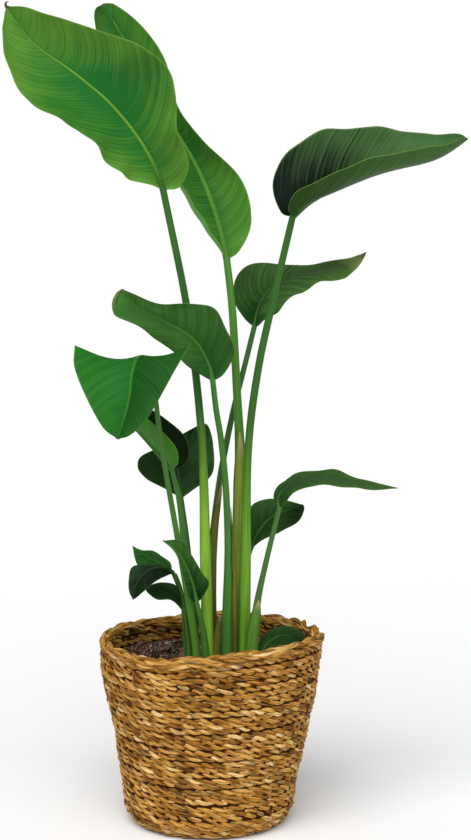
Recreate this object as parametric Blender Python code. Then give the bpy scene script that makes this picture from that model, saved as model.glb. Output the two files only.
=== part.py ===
"""A bird of paradise house plant in its nursery pot, standing in a lined, woven seagrass basket.

X runs to the plant's right, Y away from its front and Z up, all in metres. The origin is the centre
of the basket's underside.
"""
import math

import bmesh
import bpy
from mathutils import Vector

# How things touch: a clearance between pieces that rest on or in each other.
GAP = 0.0003

# The basket: a round, tapering, woven tub with a rolled rim.
BASKET_HEIGHT = 0.246
BASKET_FOOT_RADIUS = 0.078
BASKET_TOP_RADIUS = 0.1375
BASKET_WALL = 0.009
INSIDE_CORNER = 0.018
RIM_OVERHANG = 0.006
RIM_DEPTH = 0.022
RIM_STARTS = -50
RIM_TURN = 280
RIM_STEPS = 6
BASKET_SIDES = 40

# The plastic film that lines it, and the nursery pot that stands on the film.
LINER_TOP = 0.210
LINER_THICKNESS = 0.0006
POT_HEIGHT = 0.174
POT_FOOT_RADIUS = 0.068
POT_TOP_RADIUS = 0.104
POT_RIM = 0.004
POT_RIM_DEPTH = 0.012
POT_WALL = 0.0015
POT_SIDES = 32
DRAIN_HOLES = 6
DRAIN_HOLE_RADIUS = 0.005
DRAIN_CIRCLE_RADIUS = 0.050

# Soil fills the pot to a little under its rim.
SOIL_BELOW_RIM = 0.014
SOIL_DOME = 0.003
DOME_SHARE = 0.75
SOCKET_ABOVE_SOIL = 0.01

# Leaves: how fine the meshes are, and how thick a blade is.
BLADE_THICKNESS = 0.0012
BLADE_ROWS = 12
BLADE_COLUMNS = 3
BLADE_FOOT_WIDTH = 0.0015
BLADE_TIP_WIDTH = 0.0008
STALK_RINGS = 12
NECK_LENGTH = 0.004
NECK_SHARE = 0.35
STALK_SIDES = 8

# One entry for each leaf. The rib is the blade's midrib from the stalk to the tip; left and right
# are its two margins, seen from above the leaf's upper face, without the two ends that they share
# with the rib. Cup is how far each half bows, as a share of its width: minus bows it down.
# The stalk runs from the soil to the blade, and thick holds its radius at those points.
LEAVES = {
    "top_left": {
        "rib": [(-0.059, -0.020, 0.800), (-0.078, -0.035, 0.847), (-0.116, -0.050, 0.898),
                (-0.162, -0.055, 0.938), (-0.215, -0.050, 0.977), (-0.246, -0.040, 1.020)],
        "left": [(-0.084, -0.050, 0.809), (-0.118, -0.080, 0.827), (-0.143, -0.090, 0.856),
                 (-0.171, -0.100, 0.881), (-0.203, -0.105, 0.893), (-0.232, -0.100, 0.928),
                 (-0.247, -0.085, 0.970), (-0.248, -0.055, 1.007)],
        "right": [(-0.038, -0.020, 0.804), (-0.027, -0.035, 0.833), (-0.040, -0.050, 0.872),
                  (-0.046, -0.065, 0.933), (-0.078, -0.070, 0.968), (-0.129, -0.070, 0.987),
                  (-0.186, -0.065, 1.006), (-0.226, -0.055, 1.017)],
        "cup": (-0.1, -0.12),
        "stalk": [(-0.005, 0.012, 0.129), (-0.005, 0.010, 0.216), (-0.008, 0.006, 0.320),
                  (-0.011, 0.000, 0.462), (-0.019, -0.004, 0.564), (-0.032, -0.010, 0.664),
                  (-0.059, -0.020, 0.799)],
        "thick": [0.0080, 0.0075, 0.0068, 0.0052, 0.0048, 0.0045, 0.0042]},
    "top_centre": {
        "rib": [(0.019, 0.030, 0.713), (0.008, 0.045, 0.763), (-0.016, 0.060, 0.826),
                (-0.051, 0.065, 0.887), (-0.093, 0.060, 0.961), (-0.136, 0.050, 1.032)],
        "left": [(0.006, 0.005, 0.741), (-0.015, -0.005, 0.773), (-0.036, 0.000, 0.805),
                 (-0.076, 0.010, 0.874), (-0.116, 0.015, 0.936), (-0.141, 0.020, 0.997),
                 (-0.144, 0.030, 1.023)],
        "right": [(0.036, 0.030, 0.725), (0.050, 0.035, 0.765), (0.036, 0.045, 0.816),
                  (-0.011, 0.050, 0.863), (-0.043, 0.055, 0.906), (-0.059, 0.060, 0.964),
                  (-0.087, 0.060, 1.005), (-0.121, 0.055, 1.032)],
        "cup": (-0.25, -0.15),
        "stalk": [(0.036, 0.018, 0.127), (0.036, 0.018, 0.214), (0.036, 0.018, 0.331),
                  (0.036, 0.017, 0.460), (0.031, 0.017, 0.562), (0.026, 0.020, 0.650),
                  (0.019, 0.030, 0.712)],
        "thick": [0.0100, 0.0100, 0.0095, 0.0080, 0.0055, 0.0050, 0.0045]},
    "top_right": {
        "rib": [(0.101, 0.000, 0.767), (0.123, 0.000, 0.789), (0.160, 0.005, 0.810),
                (0.216, 0.010, 0.831), (0.272, 0.010, 0.841), (0.319, 0.010, 0.863)],
        "left": [(0.085, 0.024, 0.776), (0.077, 0.048, 0.811), (0.097, 0.060, 0.849),
                 (0.144, 0.065, 0.878), (0.207, 0.060, 0.878), (0.269, 0.045, 0.871),
                 (0.308, 0.025, 0.870)],
        "right": [(0.095, -0.028, 0.780), (0.106, -0.052, 0.798), (0.138, -0.065, 0.815),
                  (0.170, -0.070, 0.833), (0.223, -0.060, 0.845), (0.273, -0.040, 0.852),
                  (0.309, -0.010, 0.864)],
        "cup": (-0.18, -0.2),
        "stalk": [(0.040, -0.003, 0.133), (0.041, -0.002, 0.219), (0.043, -0.002, 0.335),
                  (0.046, -0.001, 0.475), (0.058, -0.004, 0.575), (0.077, -0.003, 0.664),
                  (0.101, 0.000, 0.766)],
        "thick": [0.0078, 0.0075, 0.0065, 0.0050, 0.0048, 0.0045, 0.0042]},
    "mid_right": {
        "rib": [(0.054, 0.060, 0.626), (0.061, 0.070, 0.654), (0.078, 0.080, 0.677),
                (0.117, 0.085, 0.692), (0.158, 0.080, 0.703), (0.187, 0.070, 0.710),
                (0.197, 0.065, 0.722)],
        "left": [(0.040, 0.075, 0.638), (0.028, 0.090, 0.660), (0.032, 0.105, 0.690),
                 (0.062, 0.115, 0.707), (0.114, 0.115, 0.709), (0.166, 0.100, 0.708),
                 (0.190, 0.080, 0.718)],
        "right": [(0.064, 0.050, 0.631), (0.079, 0.035, 0.649), (0.102, 0.035, 0.667),
                  (0.127, 0.040, 0.682), (0.154, 0.045, 0.686), (0.182, 0.055, 0.696),
                  (0.194, 0.060, 0.715)],
        "cup": (-0.15, 0.12),
        "stalk": [(-0.003, 0.034, 0.124), (-0.003, 0.034, 0.224), (-0.001, 0.033, 0.329),
                  (0.009, 0.034, 0.426), (0.026, 0.043, 0.515), (0.040, 0.052, 0.570),
                  (0.054, 0.060, 0.625)],
        "thick": [0.0072, 0.0070, 0.0062, 0.0045, 0.0040, 0.0036, 0.0034]},
    "mid_left": {
        "rib": [(0.002, -0.035, 0.565), (-0.005, -0.045, 0.592), (-0.023, -0.055, 0.620),
                (-0.056, -0.062, 0.640), (-0.088, -0.070, 0.656), (-0.111, -0.072, 0.670)],
        "left": [(-0.010, -0.043, 0.572), (-0.028, -0.060, 0.586), (-0.046, -0.072, 0.606),
                 (-0.073, -0.085, 0.627), (-0.103, -0.090, 0.643), (-0.116, -0.085, 0.651),
                 (-0.117, -0.076, 0.665)],
        "right": [(0.016, -0.030, 0.574), (0.031, -0.022, 0.598), (0.019, -0.030, 0.628),
                  (0.005, -0.040, 0.656), (-0.026, -0.045, 0.662), (-0.062, -0.052, 0.661),
                  (-0.092, -0.064, 0.672)],
        "cup": (0.1, -0.15),
        "stalk": [(0.019, -0.008, 0.134), (0.020, -0.008, 0.220), (0.021, -0.010, 0.336),
                  (0.018, -0.013, 0.426), (0.012, -0.018, 0.490), (0.006, -0.024, 0.528),
                  (0.002, -0.035, 0.564)],
        "thick": [0.0085, 0.0082, 0.0072, 0.0048, 0.0042, 0.0038, 0.0035]},
    "drooping_left": {
        "rib": [(-0.070, -0.078, 0.578), (-0.074, -0.094, 0.597), (-0.085, -0.118, 0.603),
                (-0.092, -0.141, 0.585), (-0.096, -0.154, 0.551), (-0.109, -0.152, 0.507)],
        "left": [(-0.049, -0.078, 0.590), (-0.027, -0.094, 0.610), (-0.026, -0.110, 0.613),
                 (-0.044, -0.135, 0.583), (-0.061, -0.148, 0.552), (-0.076, -0.155, 0.529),
                 (-0.094, -0.156, 0.512)],
        "right": [(-0.104, -0.082, 0.590), (-0.138, -0.095, 0.603), (-0.159, -0.117, 0.613),
                  (-0.160, -0.143, 0.591), (-0.146, -0.159, 0.559), (-0.126, -0.160, 0.522)],
        "cup": (-0.1, -0.1),
        "stalk": [(-0.015, -0.006, 0.134), (-0.020, -0.012, 0.221), (-0.029, -0.020, 0.287),
                  (-0.046, -0.040, 0.392), (-0.054, -0.054, 0.444), (-0.063, -0.072, 0.509),
                  (-0.070, -0.078, 0.576)],
        "thick": [0.0055, 0.0052, 0.0048, 0.0038, 0.0034, 0.0032, 0.0030]},
    "low_left_front": {
        "rib": [(-0.049, -0.020, 0.452), (-0.061, -0.022, 0.469), (-0.076, -0.026, 0.486),
                (-0.092, -0.030, 0.503), (-0.106, -0.034, 0.515)],
        "left": [(-0.041, -0.042, 0.464), (-0.042, -0.054, 0.483), (-0.054, -0.060, 0.501),
                 (-0.072, -0.060, 0.518), (-0.090, -0.054, 0.528)],
        "right": [(-0.035, 0.006, 0.455), (-0.028, 0.016, 0.472), (-0.035, 0.016, 0.493),
                  (-0.055, 0.010, 0.512), (-0.077, -0.002, 0.527), (-0.095, -0.018, 0.529)],
        "cup": (-0.1, -0.12),
        "stalk": [(-0.026, 0.010, 0.130), (-0.027, 0.009, 0.216), (-0.030, 0.006, 0.282),
                  (-0.036, -0.006, 0.361), (-0.041, -0.014, 0.413), (-0.049, -0.020, 0.451)],
        "thick": [0.0052, 0.0050, 0.0046, 0.0038, 0.0034, 0.0030]},
    "low_left_back": {
        "rib": [(-0.039, 0.020, 0.410), (-0.042, 0.030, 0.433), (-0.044, 0.040, 0.457),
                (-0.035, 0.045, 0.482), (-0.028, 0.040, 0.496)],
        "left": [(-0.060, 0.015, 0.424), (-0.085, 0.010, 0.443), (-0.094, 0.020, 0.452),
                 (-0.090, 0.035, 0.463), (-0.061, 0.050, 0.475)],
        "right": [(-0.022, 0.025, 0.423), (0.001, 0.030, 0.442), (0.001, 0.040, 0.476),
                  (-0.007, 0.045, 0.503)],
        "cup": (-0.1, -0.1),
        "stalk": [(-0.020, 0.024, 0.126), (-0.021, 0.024, 0.213), (-0.026, 0.023, 0.291),
                  (-0.032, 0.022, 0.356), (-0.039, 0.020, 0.408)],
        "thick": [0.0052, 0.0050, 0.0045, 0.0036, 0.0030]},
    "low_right": {
        "rib": [(0.085, -0.020, 0.404), (0.085, -0.015, 0.420), (0.101, -0.010, 0.434),
                (0.136, -0.008, 0.441), (0.186, -0.010, 0.433), (0.234, -0.010, 0.428)],
        "left": [(0.079, 0.000, 0.416), (0.087, 0.015, 0.432), (0.112, 0.030, 0.442),
                 (0.151, 0.030, 0.444), (0.194, 0.010, 0.435)],
        "right": [(0.091, -0.030, 0.412), (0.104, -0.040, 0.427), (0.132, -0.045, 0.434),
                  (0.166, -0.035, 0.433), (0.205, -0.020, 0.427)],
        "cup": (-0.1, 0.1),
        "stalk": [(0.052, -0.024, 0.139), (0.051, -0.026, 0.224), (0.057, -0.026, 0.282),
                  (0.066, -0.024, 0.326), (0.075, -0.022, 0.364), (0.085, -0.020, 0.403)],
        "thick": [0.0085, 0.0080, 0.0062, 0.0040, 0.0034, 0.0030]},
    "low_right_back": {
        "rib": [(0.050, 0.040, 0.342), (0.059, 0.045, 0.363), (0.077, 0.050, 0.382),
                (0.098, 0.045, 0.392), (0.117, 0.040, 0.399)],
        "left": [(0.046, 0.055, 0.364), (0.049, 0.065, 0.392), (0.068, 0.070, 0.402),
                 (0.094, 0.060, 0.402)],
        "right": [(0.064, 0.030, 0.354), (0.087, 0.020, 0.368), (0.110, 0.025, 0.379),
                  (0.118, 0.035, 0.393)],
        "cup": (-0.1, -0.1),
        "stalk": [(0.025, 0.042, 0.121), (0.028, 0.042, 0.208), (0.033, 0.041, 0.275),
                  (0.040, 0.040, 0.311), (0.050, 0.040, 0.340)],
        "thick": [0.0052, 0.0050, 0.0042, 0.0034, 0.0028]},
    "base_left_upper": {
        "rib": [(-0.051, 0.012, 0.318), (-0.066, 0.006, 0.330), (-0.083, 0.000, 0.340),
                (-0.100, -0.004, 0.353)],
        "left": [(-0.066, -0.006, 0.321), (-0.083, -0.014, 0.326), (-0.095, -0.016, 0.332)],
        "right": [(-0.053, 0.022, 0.327), (-0.064, 0.024, 0.335), (-0.075, 0.018, 0.343),
                  (-0.089, 0.006, 0.346)],
        "cup": (-0.1, -0.1),
        "stalk": [(-0.031, 0.021, 0.126), (-0.032, 0.021, 0.200), (-0.034, 0.022, 0.245),
                  (-0.040, 0.020, 0.285), (-0.051, 0.012, 0.317)],
        "thick": [0.0032, 0.0030, 0.0026, 0.0022, 0.0020]},
    "base_left_middle": {
        "rib": [(-0.045, -0.020, 0.319), (-0.058, -0.025, 0.329), (-0.077, -0.032, 0.329),
                (-0.092, -0.038, 0.315), (-0.098, -0.040, 0.292)],
        "left": [(-0.052, -0.030, 0.322), (-0.070, -0.045, 0.315), (-0.081, -0.048, 0.307),
                 (-0.092, -0.045, 0.296)],
        "right": [(-0.050, -0.016, 0.325), (-0.071, -0.022, 0.332), (-0.098, -0.028, 0.332),
                  (-0.104, -0.034, 0.315), (-0.103, -0.038, 0.301)],
        "cup": (-0.1, -0.1),
        "stalk": [(-0.028, -0.008, 0.136), (-0.029, -0.009, 0.209), (-0.033, -0.009, 0.261),
                  (-0.038, -0.014, 0.297), (-0.045, -0.020, 0.318)],
        "thick": [0.0032, 0.0030, 0.0026, 0.0022, 0.0020]},
    "base_left_lower": {
        "rib": [(-0.037, -0.004, 0.272), (-0.047, -0.006, 0.287), (-0.064, -0.009, 0.296),
                (-0.084, -0.011, 0.299)],
        "left": [(-0.040, -0.015, 0.277), (-0.052, -0.024, 0.288), (-0.068, -0.023, 0.289),
                 (-0.079, -0.016, 0.294)],
        "right": [(-0.037, 0.006, 0.284), (-0.046, 0.009, 0.301), (-0.064, 0.006, 0.305),
                  (-0.078, -0.004, 0.303)],
        "cup": (-0.1, -0.1),
        "stalk": [(-0.032, -0.001, 0.132), (-0.033, -0.001, 0.192), (-0.035, -0.001, 0.238),
                  (-0.037, -0.004, 0.271)],
        "thick": [0.0032, 0.0030, 0.0024, 0.0018]},
    "base_front": {
        "rib": [(-0.018, -0.040, 0.287), (-0.022, -0.046, 0.311), (-0.031, -0.052, 0.338),
                (-0.044, -0.055, 0.357), (-0.060, -0.056, 0.369)],
        "left": [(-0.027, -0.050, 0.296), (-0.034, -0.060, 0.320), (-0.040, -0.064, 0.346),
                 (-0.048, -0.062, 0.360)],
        "right": [(-0.011, -0.035, 0.295), (-0.003, -0.034, 0.312), (-0.011, -0.034, 0.324),
                  (-0.023, -0.042, 0.347), (-0.036, -0.050, 0.368)],
        "cup": (-0.15, -0.15),
        "stalk": [(-0.006, -0.026, 0.139), (-0.007, -0.028, 0.212), (-0.011, -0.032, 0.251),
                  (-0.018, -0.040, 0.286)],
        "thick": [0.0060, 0.0056, 0.0044, 0.0030]},
    "in_basket": {
        "rib": [(0.060, -0.036, 0.218), (0.072, -0.029, 0.235), (0.090, -0.018, 0.242),
                (0.107, -0.008, 0.234), (0.116, -0.002, 0.219)],
        "left": [(0.060, -0.020, 0.232), (0.073, -0.006, 0.245), (0.092, 0.004, 0.249),
                 (0.110, 0.010, 0.244), (0.121, 0.006, 0.231)],
        "right": [(0.072, -0.043, 0.222), (0.083, -0.049, 0.215), (0.096, -0.048, 0.211),
                  (0.106, -0.032, 0.212)],
        "cup": (0.1, 0.1),
        "stalk": [(0.056, -0.044, 0.144), (0.057, -0.043, 0.177), (0.058, -0.040, 0.198),
                  (0.060, -0.036, 0.217)],
        "thick": [0.0042, 0.0040, 0.0034, 0.0026]},
}


def clear_scene():
    for thing in list(bpy.data.objects):
        bpy.data.objects.remove(thing)


def make_material(name, colour, roughness):
    material = bpy.data.materials.new(name)
    material.use_nodes = True
    shader = material.node_tree.nodes["Principled BSDF"]
    shader.inputs["Base Color"].default_value = (*colour, 1.0)
    shader.inputs["Roughness"].default_value = roughness
    return material


def add_object(name, vertices, faces, material, smooth=True):
    mesh = bpy.data.meshes.new(name)
    mesh.from_pydata(vertices, [], faces)
    shaper = bmesh.new()
    shaper.from_mesh(mesh)
    bmesh.ops.recalc_face_normals(shaper, faces=shaper.faces)
    if shaper.calc_volume(signed=True) < 0:
        bmesh.ops.reverse_faces(shaper, faces=shaper.faces)
    shaper.to_mesh(mesh)
    shaper.free()
    if smooth:
        mesh.shade_smooth()
        mesh.set_sharp_from_angle(angle=math.radians(40))
    made = bpy.data.objects.new(name, mesh)
    made.data.materials.append(material)
    bpy.context.collection.objects.link(made)
    return made


# ---------------------------------------------------------------- turned pieces: basket, liner, pot

def turned(name, profile, sides, material):
    """A solid of revolution from (radius, height) pairs, closed flat at its first and last ring."""
    vertices = []
    for radius, height in profile:
        for step in range(sides):
            angle = 2 * math.pi * step / sides
            vertices.append((radius * math.cos(angle), radius * math.sin(angle), height))
    faces = []
    for ring in range(len(profile) - 1):
        low = ring * sides
        high = low + sides
        for step in range(sides):
            after = (step + 1) % sides
            faces.append((low + step, low + after, high + after, high + step))
    faces.append(tuple(reversed(range(sides))))
    faces.append(tuple(range(high, high + sides)))
    return add_object(name, vertices, faces, material)


def basket_outside():
    """The outer line of the basket wall, from the foot up to the rim: steep at first, then flaring."""
    spread = BASKET_TOP_RADIUS - BASKET_FOOT_RADIUS
    rise = BASKET_HEIGHT - RIM_DEPTH
    shares = [(0.0, 0.0), (0.20, 0.036), (0.38, 0.10), (0.46, 0.19), (0.60, 0.385),
              (0.75, 0.61), (0.88, 0.74), (0.97, 0.87), (1.0, 1.0)]
    return [(BASKET_FOOT_RADIUS + out * spread, up * rise) for out, up in shares]


def basket_inside():
    """The inner line of the wall, from the rim down to the floor."""
    outer = basket_outside()
    inner = [(radius - BASKET_WALL, height) for radius, height in reversed(outer[2:])]
    lowest = inner[-1]
    inner.append((lowest[0] - INSIDE_CORNER / 2, BASKET_WALL + INSIDE_CORNER / 4))
    inner.append((lowest[0] - INSIDE_CORNER, BASKET_WALL))
    return inner


def build_basket(straw):
    wall_top = BASKET_HEIGHT - RIM_DEPTH
    rim = []
    for step in range(RIM_STEPS + 1):
        turn = math.radians(RIM_STARTS + step * RIM_TURN / RIM_STEPS)
        rim.append((BASKET_TOP_RADIUS - BASKET_WALL / 2 + (BASKET_WALL / 2 + RIM_OVERHANG) * math.cos(turn),
                    wall_top + RIM_DEPTH / 2 + RIM_DEPTH / 2 * math.sin(turn)))
    profile = basket_outside() + rim + basket_inside()
    return turned("basket", profile, BASKET_SIDES, straw)


def build_liner(film):
    outer = [(radius - GAP, height + GAP) for radius, height in basket_inside() if height < LINER_TOP]
    crossing = [pair for pair in basket_inside() if pair[0] > outer[0][0]][-1]
    share = (LINER_TOP - outer[0][1]) / (crossing[1] - outer[0][1])
    lip = outer[0][0] + share * (crossing[0] - GAP - outer[0][0])
    outer = [(lip, LINER_TOP)] + outer
    inner = [(radius - LINER_THICKNESS, height + LINER_THICKNESS) for radius, height in outer[1:]]
    profile = outer[::-1] + [(lip - LINER_THICKNESS, LINER_TOP)] + inner
    return turned("plastic_liner", profile, BASKET_SIDES, film)


def pot_floor():
    """The height that the pot's underside stands at, on the liner."""
    return BASKET_WALL + GAP + LINER_THICKNESS + GAP


def build_nursery_pot(plastic):
    foot = pot_floor()
    top = foot + POT_HEIGHT
    slope = (POT_TOP_RADIUS - POT_FOOT_RADIUS) / POT_HEIGHT
    under_rim = top - POT_RIM_DEPTH
    wall_under_rim = POT_TOP_RADIUS - POT_RIM_DEPTH * slope
    profile = [(POT_FOOT_RADIUS, foot), (wall_under_rim, under_rim),
               (wall_under_rim + POT_RIM, under_rim), (POT_TOP_RADIUS + POT_RIM, top),
               (POT_TOP_RADIUS - POT_WALL, top), (POT_FOOT_RADIUS - POT_WALL, foot + POT_WALL)]
    pot = turned("nursery_pot", profile, POT_SIDES, plastic)
    for hole in range(DRAIN_HOLES):
        angle = 2 * math.pi * (hole + 0.5) / DRAIN_HOLES
        bpy.ops.mesh.primitive_cylinder_add(
            vertices=12, radius=DRAIN_HOLE_RADIUS, depth=POT_WALL * 4,
            location=(DRAIN_CIRCLE_RADIUS * math.cos(angle), DRAIN_CIRCLE_RADIUS * math.sin(angle), foot))
        cut_with(pot, bpy.context.object, f"drain_cutter_{hole + 1}")
    return pot


def cut_with(solid, cutter, name):
    cutter.name = name
    cutter.hide_render = True
    cutter.display_type = "WIRE"
    cut = solid.modifiers.new(name, "BOOLEAN")
    cut.operation = "DIFFERENCE"
    cut.object = cutter


# ---------------------------------------------------------------- soil, with a socket for each stalk

def build_soil(earth):
    bottom = pot_floor() + POT_WALL + GAP
    level = pot_floor() + POT_HEIGHT - SOIL_BELOW_RIM
    slope = (POT_TOP_RADIUS - POT_FOOT_RADIUS) / (POT_HEIGHT - POT_WALL)
    foot = POT_FOOT_RADIUS - POT_WALL - GAP
    edge = foot + slope * (level - bottom)
    profile = [(foot, bottom), (edge, level), (edge * DOME_SHARE, level + SOIL_DOME)]
    soil = turned("potting_soil", profile, POT_SIDES, earth)
    sockets = bmesh.new()
    for leaf in LEAVES.values():
        rings = tube_shape(stalk_path(leaf), leaf["thick"], grow=GAP)
        above = next(i for i, ring in enumerate(rings) if ring[0].z > level + SOCKET_ABOVE_SOIL)
        rings[0] = [point - Vector((0.0, 0.0, GAP)) for point in rings[0]]
        vertices, faces = closed_tube(rings[:above + 1])
        made = [sockets.verts.new(vertex) for vertex in vertices]
        for face in faces:
            sockets.faces.new([made[index] for index in face])
    bmesh.ops.recalc_face_normals(sockets, faces=sockets.faces)
    mesh = bpy.data.meshes.new("stalk_sockets")
    sockets.to_mesh(mesh)
    sockets.free()
    cutter = bpy.data.objects.new("stalk_sockets", mesh)
    bpy.context.collection.objects.link(cutter)
    cut_with(soil, cutter, "stalk_sockets")
    return soil


# ---------------------------------------------------------------- leaves: curves, stalks and blades

def smooth_between(values, share):
    """The value a share of the way along a smooth curve through evenly spaced values."""
    last = len(values) - 1
    place = min(max(share, 0.0), 1.0) * last
    index = min(int(place), last - 1)
    u = place - index
    here, there = values[index], values[index + 1]
    before = values[index - 1] if index > 0 else here * 2 - there
    beyond = values[index + 2] if index + 2 <= last else there * 2 - here
    return 0.5 * (here * 2 + (there - before) * u + (before * 2 - here * 5 + there * 4 - beyond) * (u * u)
                  + (here * 3 - before - there * 3 + beyond) * (u * u * u))


def even_points(points, count):
    """Points at even distances along the smooth curve through a few given points."""
    fine = 30 * len(points)
    curve = [smooth_between(points, step / fine) for step in range(fine + 1)]
    run = [0.0]
    for first, second in zip(curve, curve[1:]):
        run.append(run[-1] + (second - first).length)
    placed = []
    index = 0
    for step in range(count + 1):
        wanted = run[-1] * step / count
        while index < fine - 1 and run[index + 1] < wanted:
            index += 1
        stretch = run[index + 1] - run[index]
        share = (wanted - run[index]) / stretch if stretch > 0 else 0.0
        placed.append(curve[index].lerp(curve[index + 1], share))
    return placed


def tube_shape(path, radii, grow=0.0):
    """Rings of points along a stalk, from its foot to a short neck under the blade."""
    centres = even_points(path, STALK_RINGS)
    rings = []
    for place, centre in enumerate(centres):
        ahead = (centres[min(place + 1, STALK_RINGS)] - centres[max(place - 1, 0)]).normalized()
        across = Vector((1.0, 0.0, 0.0))
        across = (across - ahead * across.dot(ahead)).normalized()
        radius = smooth_between(radii, place / STALK_RINGS) + grow
        spokes = []
        for side in range(STALK_SIDES):
            angle = 2 * math.pi * side / STALK_SIDES
            spokes.append((across * math.cos(angle) + ahead.cross(across) * math.sin(angle)) * radius)
        rings.append([centre + spoke for spoke in spokes])
    rings.append([centres[-1] + ahead * NECK_LENGTH + spoke * NECK_SHARE for spoke in spokes])
    return rings


def closed_tube(rings):
    """Vertices and faces of a closed solid through rings of points."""
    vertices = [point for ring in rings for point in ring]
    last = (len(rings) - 1) * STALK_SIDES
    faces = [tuple(reversed(range(STALK_SIDES))), tuple(range(last, last + STALK_SIDES))]
    for place in range(len(rings) - 1):
        low = place * STALK_SIDES
        high = low + STALK_SIDES
        for side in range(STALK_SIDES):
            after = (side + 1) % STALK_SIDES
            faces.append((low + side, low + after, high + after, high + side))
    return vertices, faces


def stalk_path(leaf):
    """The stalk's path, stopped far enough below its blade to leave room for the neck and a gap."""
    path = [Vector(point) for point in leaf["stalk"]]
    foot_of_blade = Vector(leaf["rib"][0])
    back = (path[-2] - foot_of_blade).normalized()
    path[-1] = foot_of_blade + back * (NECK_LENGTH + GAP + BLADE_THICKNESS * 0.6)
    return path


def build_stalk(name, leaf, green):
    vertices, faces = closed_tube(tube_shape(stalk_path(leaf), leaf["thick"]))
    return add_object(f"{name}_stalk", vertices, faces, green)


def blade_points(leaf):
    """Rows of points across a blade, each from the left margin over the rib to the right margin."""
    rib = even_points([Vector(point) for point in leaf["rib"]], BLADE_ROWS)
    margins = []
    for side in ("left", "right"):
        outline = [leaf["rib"][0], *leaf[side], leaf["rib"][-1]]
        margins.append(even_points([Vector(point) for point in outline], BLADE_ROWS))
    rows = []
    for row, middle in enumerate(rib):
        near = min(max(row, 1), BLADE_ROWS - 1)
        along = (rib[min(row + 1, BLADE_ROWS)] - rib[max(row - 1, 0)]).normalized()
        up = (margins[1][near] - margins[0][near]).cross(along).normalized()
        halves = []
        for margin, cup in zip(margins, leaf["cup"]):
            span = margin[row] - middle
            if row in (0, BLADE_ROWS):
                width = BLADE_FOOT_WIDTH if row == 0 else BLADE_TIP_WIDTH
                span = (margin[near] - rib[near]).normalized() * width
                cup = 0.0
            bow = (up - span * up.dot(span) / span.length_squared).normalized() * cup * span.length
            shares = [(column + 1) / BLADE_COLUMNS for column in range(BLADE_COLUMNS)]
            halves.append([middle + span * t + bow * (4 * t * (1 - t)) for t in shares])
        rows.append(halves[0][::-1] + [middle] + halves[1])
    return rows


def build_blade(name, leaf, green):
    """The blade as one closed sheet of even thickness."""
    rows = blade_points(leaf)
    across = len(rows[0])
    top, bottom = [], []
    for r, row in enumerate(rows):
        for c, point in enumerate(row):
            lengthwise = rows[min(r + 1, BLADE_ROWS)][c] - rows[max(r - 1, 0)][c]
            crosswise = row[min(c + 1, across - 1)] - row[max(c - 1, 0)]
            half = BLADE_THICKNESS / 2
            if r in (0, BLADE_ROWS):
                lengthwise = rows[min(r + 1, BLADE_ROWS)][BLADE_COLUMNS] - rows[max(r - 1, 0)][BLADE_COLUMNS]
                crosswise = row[-1] - row[0]
                half = BLADE_THICKNESS / 4
            up = crosswise.cross(lengthwise).normalized() * half
            top.append(point + up)
            bottom.append(point - up)
    count = len(top)
    faces = []
    for r in range(BLADE_ROWS):
        for c in range(across - 1):
            here = r * across + c
            beyond = here + across
            for corners in ((here, here + 1, beyond + 1), (here, beyond + 1, beyond)):
                faces.append(corners)
                faces.append(tuple(count + index for index in reversed(corners)))
    ring = [c for c in range(across)]
    ring += [r * across + across - 1 for r in range(1, BLADE_ROWS + 1)]
    ring += [BLADE_ROWS * across + c for c in range(across - 2, -1, -1)]
    ring += [r * across for r in range(BLADE_ROWS - 1, 0, -1)]
    for first, second in zip(ring, ring[1:] + ring[:1]):
        faces.append((second, first, count + first, count + second))
    return add_object(f"{name}_blade", top + bottom, faces, green)


def build_plant():
    clear_scene()
    straw = make_material("seagrass", (0.50, 0.31, 0.11), 0.85)
    film = make_material("liner film", (0.06, 0.035, 0.04), 0.25)
    plastic = make_material("pot plastic", (0.02, 0.02, 0.022), 0.45)
    earth = make_material("soil", (0.045, 0.028, 0.018), 0.95)
    leaf_green = make_material("leaf", (0.055, 0.20, 0.030), 0.40)
    stalk_green = make_material("stalk", (0.085, 0.25, 0.030), 0.45)
    build_basket(straw)
    build_liner(film)
    build_nursery_pot(plastic)
    build_soil(earth)
    for name, leaf in LEAVES.items():
        build_stalk(name, leaf, stalk_green)
        build_blade(name, leaf, leaf_green)


build_plant()
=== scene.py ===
"""A bird of paradise house plant in its nursery pot, standing in a lined, woven seagrass basket.

X runs to the plant's right, Y away from its front and Z up, all in metres.
"""
import math
import random

import bpy
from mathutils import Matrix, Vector, noise


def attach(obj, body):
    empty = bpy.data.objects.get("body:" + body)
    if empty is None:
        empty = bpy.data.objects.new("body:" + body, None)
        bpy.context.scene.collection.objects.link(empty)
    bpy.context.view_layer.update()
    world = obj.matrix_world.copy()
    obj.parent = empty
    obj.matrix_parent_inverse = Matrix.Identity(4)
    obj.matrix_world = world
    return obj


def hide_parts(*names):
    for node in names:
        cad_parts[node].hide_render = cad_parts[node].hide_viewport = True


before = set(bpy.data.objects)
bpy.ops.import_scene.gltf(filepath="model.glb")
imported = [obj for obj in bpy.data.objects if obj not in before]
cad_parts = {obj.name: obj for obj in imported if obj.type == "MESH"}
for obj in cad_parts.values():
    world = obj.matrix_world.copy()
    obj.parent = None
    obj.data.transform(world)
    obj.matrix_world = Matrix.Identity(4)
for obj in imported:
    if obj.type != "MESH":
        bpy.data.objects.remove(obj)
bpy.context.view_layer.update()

# ---------------------------------------------------------------- camera
# It stands a little above the middle of the plant and looks slightly down, over the basket's rim.
lens = bpy.data.cameras.new("camera")
lens.lens = 82.3
lens.sensor_width = 36.0
camera = bpy.data.objects.new("camera", lens)
camera.location = (0.03, -2.4, 0.775)
aim = Vector((0.03, 0.0, 0.513)) - camera.location
camera.rotation_euler = aim.to_track_quat("-Z", "Y").to_euler()
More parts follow.
